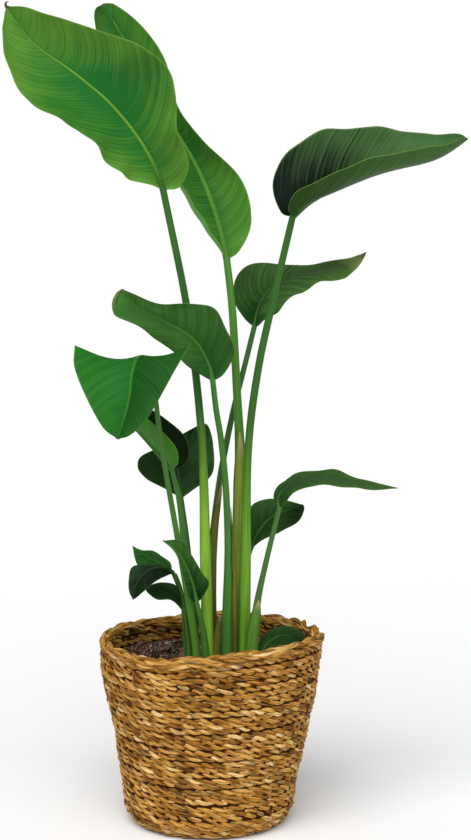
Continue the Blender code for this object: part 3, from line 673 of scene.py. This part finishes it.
add_leaf(
    "base_front",
    rib=[(-18, -40, 287), (-22, -46, 311), (-31, -52, 338), (-44, -55, 357), (-60, -56, 369)],
    left=[(-27, -50, 296), (-34, -60, 320), (-40, -64, 346), (-48, -62, 360)],
    right=[(-11, -35, 295), (-3, -34, 312), (-11, -34, 324), (-23, -42, 347), (-36, -50, 368)],
    stalk=[(-6, -26, 139), (-7, -28, 212), (-11, -32, 251)],
    thick=[6, 5.6, 4.4, 3], cup=(-0.15, -0.15))
add_leaf(
    "in_basket",
    rib=[(60, -36, 218), (72, -29, 235), (90, -18, 242), (107, -8, 234), (116, -2, 219)],
    left=[(60, -20, 232), (73, -6, 245), (92, 4, 249), (110, 10, 244), (121, 6, 231)],
    right=[(72, -43, 222), (83, -49, 215), (96, -48, 211), (106, -32, 212)],
    stalk=[(56, -44, 144), (57, -43, 177), (58, -40, 198)],
    thick=[4.2, 4, 3.4, 2.6], cup=(0.1, 0.1))

# Each leaf's dark and light green; how much lighter it is painted towards its tip, at both its ends
# and towards its margins, partly its own colour and partly painted light and shade where the blade
# turns to or from the light; how pale its rib is; how light its left and right halves are, a half
# in shadow being painted darker as painted shade; where its tip turns brown, and how wavy its
# margins are.
LEAF_LOOKS = {
    "top_left": ((30, 100, 36), (94, 144, 52), 0.02, 0.3, 0.26, 0.12, (1, 0.95), 0.985, 0.34),
    "top_centre": ((24, 90, 32), (84, 138, 50), -0.05, 0, 0.22, 0.3, (1, 1), 0.99, 0.15),
    "top_right": ((2, 18, 4), (66, 104, 54), 0.75, 0, 0.05, 0.25, (1, 0.76), 0.985, 0.16),
    "mid_right": ((18, 60, 18), (78, 116, 54), 0.34, 0, 0.1, 0.3, (1, 1), 0.8, 0.28),
    "mid_left": ((20, 70, 22), (62, 108, 42), 0.1, 0, 0.1, 0.1, (1, 0.9), 0.975, 0.18),
    "drooping_left": ((10, 80, 22), (46, 114, 38), 0, 0, 0.16, 0.95, (0.78, 1), 0.998, 0.08),
    "low_left_front": ((18, 78, 20), (62, 118, 38), 0, 0, 0.25, 0.6, (0.92, 0.3), 0.975, 0.1),
    "low_left_back": ((14, 46, 14), (52, 86, 42), 0, 0, 0.2, 0.2, (0.85, 1), 0.99, 0.32),
    "low_right": ((20, 60, 18), (60, 94, 42), 0.15, 0, 0.15, 0.45, (1, 1), 0.975, 0.15),
    "low_right_back": ((20, 54, 18), (58, 96, 42), 0, 0, 0.2, 0.6, (1, 0.9), 0.975, 0.12),
    "base_left_upper": ((20, 70, 24), (58, 110, 46), 0, 0, 0.2, 0.2, (1, 1), 0.97, 0.2),
    "base_left_middle": ((5, 24, 8), (34, 60, 32), 0, 0, 0.2, 0.3, (0.7, 1), 0.98, 0.28),
    "base_left_lower": ((10, 42, 14), (44, 84, 36), 0, 0, 0.2, 0.15, (1, 1), 0.98, 0.2),
    "base_front": ((10, 50, 14), (60, 110, 42), 0.5, 0, 0.1, 0.15, (1, 0.85), 0.98, 0.15),
    "in_basket": ((14, 44, 12), (42, 76, 28), 0, 0, 0.15, 0.35, (1, 1), 0.98, 0.12),
}
BLADE_ROWS = 64
BLADE_THICKNESS = 0.00064
LEAST_HALF_WIDTH = 0.0012
EDGE_THINNING = 0.35
VEIN_SWEEP = 0.85
CHANNEL_DEPTH = 0.55
# Where the points of a half blade stand: by the rib, as shares of its channel's half width, and
# from there to the margin, as shares of the way.
BY_RIB = (0.35, 0.7, 1.0, 1.3)
TO_MARGIN = [step / 9 for step in (1, 2, 3, 4, 5, 6, 7, 8, 8.7, 9)]
RIGHT_HALF = 40.0  # added to the vein pattern, so that the two halves' veins differ


def smooth_between(values, share):
    """The value a share of the way along a smooth curve through evenly spaced values."""
    last = len(values) - 1
    place = min(max(share, 0.0), 1.0) * last
    index = min(int(place), last - 1)
    u = place - index
    here, there = values[index], values[index + 1]
    before = values[index - 1] if index > 0 else here * 2 - there
    beyond = values[index + 2] if index + 2 <= last else there * 2 - here
    return 0.5 * (here * 2 + (there - before) * u
                  + (before * 2 - here * 5 + there * 4 - beyond) * (u * u)
                  + (here * 3 - before - there * 3 + beyond) * (u * u * u))


def even_points(points, count):
    """Points at even distances along the smooth curve through a few given points."""
    points = [Vector(point) for point in points]
    fine = 40 * len(points)
    curve = [smooth_between(points, step / fine) for step in range(fine + 1)]
    run = [0.0]
    for first, second in zip(curve, curve[1:]):
        run.append(run[-1] + (second - first).length)
    placed, index = [], 0
    for step in range(count + 1):
        wanted = run[-1] * step / count
        while index < fine - 1 and run[index + 1] < wanted:
            index += 1
        stretch = run[index + 1] - run[index]
        share = (wanted - run[index]) / stretch if stretch > 0 else 0.0
        placed.append(curve[index].lerp(curve[index + 1], share))
    return placed


def leaf_lines(leaf, count):
    """The rib, the left margin and the right margin of a leaf, each as evenly spaced points."""
    ends = leaf["rib"][0], leaf["rib"][-1]
    margins = [[ends[0], *leaf[side], ends[1]] for side in ("left", "right")]
    return [even_points(line, count) for line in (leaf["rib"], *margins)]


def leaf_material(name, dark, light, tipward, ends, outward, rib, halves, brown):
    """Vein runs along the rib and bends with the side veins; out is 0 at the rib and 1 at a margin;
    under is 1 on the lower face, rib 1 in the rib's channel, and along 0 at the stalk and 1 at the
    tip."""
    material, shader = new_material(f"{name} leaf", 0.46, 0.06)
    vein, out, along, in_rib, under = (
        pattern(material, part) for part in ("vein", "out", "along", "rib", "under"))
    across = times(out, 0.6)
    pleats = cloud(join(times(vein, 250.0), across, 0.0), 1.0, 1.0)
    veins = cloud(join(times(vein, 680.0), across, 4.0), 1.0, 2.0)
    patches = cloud(position(material), 17.0, 2.0)
    from_middle = maths("ABSOLUTE", maths("MULTIPLY_ADD", along, 2.0, -0.9))
    # Pleats paint light and dark bands into the green, as painted light and shade on the ripples;
    # tipward, ends and outward are partly the leaf's colour and partly painted light and shade.
    level = 0.05 - (outward + tipward + ends) / 2
    for source, share in ((pleats, 0.30), (veins, 0.34), (patches, 0.30), (out, outward),
                          (along, tipward), (from_middle, ends)):
        level = maths("ADD", level, times(source, share))
    green = ramp(level, (0.34, paint(*dark)), (0.70, paint(*light)))
    pale = paint(light[0] * 0.8 + 36, light[1] * 0.9 + 54, light[2] * 0.8 + 14)
    green = mix(times(under, 0.7), green, mix(0.5, green, pale))
    # Painted shade: a half that would lie in shadow is painted darker.
    half = mix(maths("GREATER_THAN", vein, RIGHT_HALF / 2), *[grey(share ** 2) for share in halves])
    green = mix(1.0, green, half, "MULTIPLY")
    # Painted shade: the edges of the rib's channel are painted darker.
    lines = ramp(in_rib, (0.05, grey(1.0)), (0.35, grey(0.5)), (0.65, grey(1.0)))
    green = mix(1.0, green, lines, "MULTIPLY")
    fading = maths("SUBTRACT", 1.2, times(along, 0.8))
    pale = paint(light[0] * 0.6 + 62, light[1] * 0.6 + 92, light[2] * 0.6 + 34)
    green = mix(times(in_rib, times(fading, rib)), green, pale)
    green = mix(times(fade(out, 0.984, 0.996), 0.5), green, paint(130, 156, 78))
    dry = ramp(along, (0.94, paint(142, 160, 94)), (0.975, paint(104, 90, 62)))
    green = mix(fade(along, brown, 0.5 + brown / 2), green, dry)
    finish(shader, green, maths("ADD", pleats, times(veins, 0.3)), 0.5, 0.0025)
    return material


def closed_sheet(rows, names, thickness):
    """A thin closed sheet from rows of (point, value, ...), with a value for each named pattern."""
    across, last = len(rows[0]), len(rows) - 1
    shape = new_shape("under", *names)
    for under in (0, 1):
        for r, row in enumerate(rows):
            for c, (point, *values) in enumerate(row):
                forward = rows[min(r + 1, last)][c][0] - rows[max(r - 1, 0)][c][0]
                sideways = row[min(c + 1, across - 1)][0] - row[max(c - 1, 0)][0]
                up = sideways.cross(forward).normalized()
                at_edge = c in (0, across - 1) or r in (0, last)
                half = thickness / 2 * (EDGE_THINNING if at_edge else 1.0)
                shape["points"].append(tuple(point + up * (-half if under else half)))
                shape["under"].append(float(under))
                for name, value in zip(names, values):
                    shape[name].append(value)
    count = across * len(rows)
    for r in range(last):
        for here in range(r * across, r * across + across - 1):
            beyond = here + across
            shape["faces"].append((here, here + 1, beyond + 1, beyond))
            below, after = count + here, count + beyond
            shape["faces"].append((after, after + 1, below + 1, below))
    edge = list(range(across)) + [r * across + across - 1 for r in range(1, last + 1)]
    edge += [last * across + c for c in range(across - 2, -1, -1)]
    edge += [r * across for r in range(last - 1, 0, -1)]
    for first, second in zip(edge, edge[1:] + edge[:1]):
        shape["faces"].append((second, first, count + first, count + second))
    return shape


def blade_shape(leaf, seed, waviness):
    """Rows of points from the left margin over the rib to the right margin."""
    rib, *margins = leaf_lines(leaf, BLADE_ROWS)
    length = sum((second - first).length for first, second in zip(rib, rib[1:]))
    middles = []
    for row, middle in enumerate(rib):
        share = row / BLADE_ROWS
        near = min(max(row, 1), BLADE_ROWS - 1)
        along = (rib[min(row + 1, BLADE_ROWS)] - rib[max(row - 1, 0)]).normalized()
        up = (margins[1][near] - margins[0][near]).cross(along).normalized()
        halves = []
        for side, (margin, cup) in enumerate(zip(margins, leaf["cup"])):
            span = margin[row] - middle
            if span.length < LEAST_HALF_WIDTH:
                span = (margin[near] - rib[near]).normalized() * LEAST_HALF_WIDTH
            width = span.length
            bow = (up - span * up.dot(span) / span.length_squared).normalized()
            wave = noise.noise(Vector((share * length * 34, side * 9.0 + seed, 0.0)))
            wave *= waviness * min(width, 0.04)
            channel = 0.0008 + (leaf["thick"][-1] - 0.0012) * (1 - share) ** 0.8
            channel = min(channel, width * 0.4)
            by_rib = [channel * step / width for step in BY_RIB]
            shares = by_rib + [by_rib[-1] + (1 - by_rib[-1]) * step for step in TO_MARGIN]
            half = []
            for t in shares:
                deep = CHANNEL_DEPTH * channel * max(0.0, 1 - (width * t / channel) ** 2)
                bowed = cup * width * 4 * t * (1 - t) + wave * t * t
                point = middle + span * t + bow * bowed - up * deep
                in_channel = 1.0 if width * t < 0.8 * channel else 0.0
                vein = share * length - VEIN_SWEEP * width * t ** 1.35 + side * RIGHT_HALF
                half.append((point, vein, t, in_channel, share))
            halves.append(half)
        groove = middle - up * CHANNEL_DEPTH * channel
        middles.append(halves[0][::-1] + [(groove, share * length, 0.0, 1.0, share)] + halves[1])
    return closed_sheet(middles, ("vein", "out", "rib", "along"), BLADE_THICKNESS)


for number, (name, leaf) in enumerate(LEAVES.items()):
    *looks, waviness = LEAF_LOOKS[name]
    material = leaf_material(name, *looks)
    shape = blade_shape(leaf, number * 3.1, waviness)
    add_piece(f"{name}_blade", shape, material, [f"{name}_blade"])

# ---------------------------------------------------------------- leaf stalks
# Each stalk is firm, round and fleshy, with fine lengthwise lines. It carries on under its blade as
# the midrib, thinner towards the tip. Its two greens are the one low down and the one higher up.
STALK_RINGS = 44
MIDRIB_RINGS = 30
STALK_SIDES = 16
STALK_GREENS = {
    "top_left": ((136, 186, 56), (50, 98, 38)), "top_centre": ((104, 150, 46), (72, 124, 46)),
    "top_right": ((100, 152, 44), (50, 96, 36)), "mid_right": ((64, 104, 42), (56, 98, 42)),
    "mid_left": ((64, 116, 44), (64, 116, 46)), "drooping_left": ((88, 140, 50), (64, 112, 46)),
    "low_left_front": ((74, 124, 50), (66, 114, 48)),
    "low_left_back": ((62, 108, 46), (60, 102, 44)), "low_right": ((66, 118, 46), (64, 106, 48)),
    "low_right_back": ((56, 100, 42), (52, 92, 40)), "in_basket": ((40, 84, 40), (40, 84, 40)),
    "base_left_upper": ((70, 116, 50), (66, 110, 48)),
    "base_left_middle": ((70, 116, 50), (66, 110, 48)),
    "base_left_lower": ((66, 112, 48), (64, 108, 46)), "base_front": ((56, 112, 42), (64, 116, 44)),
}


def add_tint(shader, colour, streaks, dark, light, strength):
    """Finishes a material whose colour and surface both follow its streaks."""
    tint = ramp(streaks, (0.3, grey(dark)), (0.5, grey(1.0)), (0.72, (*light, 1.0)))
    finish(shader, mix(1.0, colour, tint, "MULTIPLY"), streaks, strength, 0.0012)


def stalk_material(name, low, high, rib):
    material, shader = new_material(f"{name} stalk", 0.42, 0.10)
    along = pattern(material, "along")
    streaks = cloud(join(times(along, 9.0), pattern(material, "lie"), 0.0), 1.0, 3.0)
    green = mix(fade(along, 0.32, 0.60), paint(*low), paint(*high))
    green = mix(fade(maths("SUBTRACT", along, 1.0), 0.02, 0.20), green, paint(*rib))
    add_tint(shader, green, streaks, 0.72, (1.45, 1.25, 1.1), 0.35)
    return material


def stalk_line(leaf):
    return [*leaf["stalk"], leaf["rib"][0]]


def stalk_shape(leaf):
    """Rings of points from the soil to the blade, then on under the blade to near its tip."""
    path = even_points(stalk_line(leaf), STALK_RINGS)
    centres = [(point, smooth_between(leaf["thick"], place / STALK_RINGS), place / STALK_RINGS)
               for place, point in enumerate(path)]
    rib, left, right = leaf_lines(leaf, MIDRIB_RINGS)
    for place in range(1, MIDRIB_RINGS - 1):
        share = place / MIDRIB_RINGS
        radius = leaf["thick"][-1] * (1 - share) ** 0.8 * 0.85 + 0.0003
        up = (right[place] - left[place]).cross(rib[place + 1] - rib[place - 1]).normalized()
        sink = min(1.0, share * 6) * radius * 0.95
        centres.append((rib[place] - up * sink, radius, 1.0 + share))
    shape = new_shape("lie", "along")
    across = Vector((1.0, 0.0, 0.0))
    last = len(centres) - 1
    for place, (centre, radius, share) in enumerate(centres):
        ahead = (centres[min(place + 1, last)][0] - centres[max(place - 1, 0)][0]).normalized()
        across = (across - ahead * across.dot(ahead)).normalized()
        other = ahead.cross(across)
        for side in range(STALK_SIDES):
            turn = math.tau * side / STALK_SIDES
            out = across * math.cos(turn) + other * math.sin(turn)
            shape["points"].append(tuple(centre + out * radius))
            shape["lie"].append(12 * abs(side * 2 / STALK_SIDES - 1) + leaf["stalk"][0][0] * 900)
            shape["along"].append(share)
        if place < last:
            low = place * STALK_SIDES
            join_rings(shape, low, low + STALK_SIDES, STALK_SIDES)
    shape["faces"].append(tuple(reversed(range(STALK_SIDES))))
    shape["faces"].append(tuple(last * STALK_SIDES + side for side in range(STALK_SIDES)))
    return shape


for name, leaf in LEAVES.items():
    material = stalk_material(name, *STALK_GREENS[name], LEAF_LOOKS[name][1])
    add_piece(f"{name}_stalk", stalk_shape(leaf), material, [f"{name}_stalk"])

# ---------------------------------------------------------------- leaf sheaths
# The foot of a stalk wraps round the next one. The free edges of these wraps, and one old stump,
# are thin and papery: green or olive, with a brown, ragged margin and a pale tip. The dry, rolled
# ends of two leaves are made in the same way, and grow on from their blades.
SHEATH_RINGS = 40
SHEATH_COLUMNS = 14
SHEATH_THICKNESS = 0.0006


def sheath_material(name, low, high, margin):
    material, shader = new_material(name, 0.55, 0.10)
    along, out = pattern(material, "along"), pattern(material, "out")
    streaks = cloud(join(times(along, 5.0), times(out, 7.0), 0.0), 1.0, 3.0)
    body = mix(along, paint(*low), paint(*high))
    edge = maths("ADD", maths("ABSOLUTE", out), times(maths("SUBTRACT", streaks, 0.5), 0.8))
    body = mix(fade(edge, 0.62, 0.86), body, paint(*margin))
    body = mix(fade(along, 0.90, 1.0, 0.0, 0.8), body, paint(176, 168, 118))
    add_tint(shader, body, streaks, 0.62, (1.35, 1.2, 1.05), 0.5)
    return material


def add_sheath(name, label, tones, line, thick, foot, top, facing, reach, slack, replaced, slot):
    """A tapering wrap round a stalk or a rib, from its foot to its top, both shares of the line's
    length. Thick is the line's radius, facing the side that the wrap's middle is on, reach how far
    round it goes to each side, both in degrees, and slack how loose it is at its foot."""
    path = even_points(line, SHEATH_RINGS * 3)
    rows = []
    for ring in range(SHEATH_RINGS + 1):
        share = ring / SHEATH_RINGS
        up = foot + (top - foot) * share
        place = up * (len(path) - 1)
        first = min(int(place), len(path) - 2)
        centre = path[first].lerp(path[first + 1], place - first)
        radius = smooth_between(thick, up) + 0.0005 + slack * (1 - share)
        ragged = 1 + 0.10 * noise.noise(Vector((share * 9, facing, 0.5)))
        spread = reach * max(0.03, 1 - share ** 7) * ragged
        row = []
        for column in range(SHEATH_COLUMNS + 1):
            out = 2 * column / SHEATH_COLUMNS - 1
            turn = math.radians(facing + out * spread)
            lift = 1 + noise.noise(Vector((share * 14, out * 2, facing)))
            stand = radius + 0.0007 * out * out * lift
            row.append((centre + Vector(around(turn, stand)), out, share))
        rows.append(row)
    shape = closed_sheet(rows, ("out", "along"), SHEATH_THICKNESS)
    add_piece(name, shape, sheath_material(label, *tones), [replaced])


OLIVE_BROWN = ((92, 106, 44), (108, 112, 50), (84, 66, 28))
YELLOW_GREEN = ((116, 152, 50), (128, 148, 58), (104, 84, 34))
GREEN = ((70, 126, 44), (88, 132, 50), (100, 78, 34))
DRY_BROWN = ((74, 80, 36), (70, 54, 30), (58, 42, 26))
ROLLED_GREEN = ((70, 112, 44), (96, 108, 48), (92, 66, 34))
for name, tones, *place in (
        ("mid_right", OLIVE_BROWN, 0.0, 0.60, -55, 105, 0.0012),
        ("top_centre", YELLOW_GREEN, 0.0, 0.63, -85, 110, 0.0006),
        ("mid_left", YELLOW_GREEN, 0.0, 0.62, 12, 68, 0.0036),
        ("low_right", GREEN, 0.0, 0.56, -80, 130, 0.0008)):
    leaf = LEAVES[name]
    add_sheath(f"{name}_sheath", f"{name} sheath", tones, stalk_line(leaf), leaf["thick"], *place,
               f"{name}_stalk", "stalk")
add_sheath("old_leaf_stump", "old leaf stump", OLIVE_BROWN,
           [(0.007, 0.010, 0.172), (0.007, 0.009, 0.215), (0.010, 0.008, 0.262)],
           [0.0058, 0.0056, 0.0030], 0.0, 1.0, -90, 110, 0.0, "mid_left_stalk", "stalk")
add_sheath("top_left_curled_tip", "dry leaf tip", DRY_BROWN,
           [(-0.2455, -0.040, 1.017), (-0.2475, -0.041, 1.021), (-0.247, -0.041, 1.0245),
            (-0.2435, -0.041, 1.026)],
           [0.0010, 0.0006, 0.0001, -0.0001], 0.0, 1.0, -90, 150, 0.0, "top_left_blade", "leaf")
add_sheath("mid_left_rolled_tip", "rolled leaf tip", ROLLED_GREEN,
           [(-0.1150, -0.080, 0.649), (-0.1168, -0.080, 0.658), (-0.1162, -0.078, 0.667),
            (-0.1125, -0.075, 0.675), (-0.1070, -0.073, 0.681)],
           [0.0002, 0.0012, 0.0014, 0.0008, 0.0], 0.0, 1.0, -90, 150, 0.0, "mid_left_blade", "leaf")

# ---------------------------------------------------------------- floor and light
# A pale studio floor that runs off out of sight, with broad, soft light from the front and above.
bpy.ops.mesh.primitive_plane_add(size=60.0, location=(0.0, 20.0, 0.0))
floor = bpy.context.object
floor.name = "studio_floor"
floor_paint, shader = new_material("studio floor", 0.9, 0.0)
shader.inputs["Base Color"].default_value = (0.97, 0.97, 0.97, 1.0)
floor.data.materials.append(floor_paint)

world = bpy.data.worlds.new("studio")
world.use_nodes = True
seen = add_node("ShaderNodeLightPath", {}, world.node_tree).outputs["Is Camera Ray"]
strength = add_node("ShaderNodeMapRange", {"Value": seen, "To Min": 0.34, "To Max": 1.0})
backdrop = world.node_tree.nodes["Background"]
backdrop.inputs["Color"].default_value = (1.0, 1.0, 1.0, 1.0)
world.node_tree.links.new(strength.outputs["Result"], backdrop.inputs["Strength"])
bpy.context.scene.world = world
for name, height, azimuth, softness, power in (("key", 50, -110, 50, 2.3),
                                               ("fill", 28, -60, 60, 0.9)):
    light = bpy.data.lights.new(name, "SUN")
    light.energy = power
    light.angle = math.radians(softness)
    lamp = bpy.data.objects.new(name, light)
    height = math.radians(height)
    lamp.location = Vector(around(math.radians(azimuth), math.cos(height), math.sin(height))) * 3
    lamp.rotation_euler = lamp.location.to_track_quat("Z", "Y").to_euler()
    bpy.context.collection.objects.link(lamp)
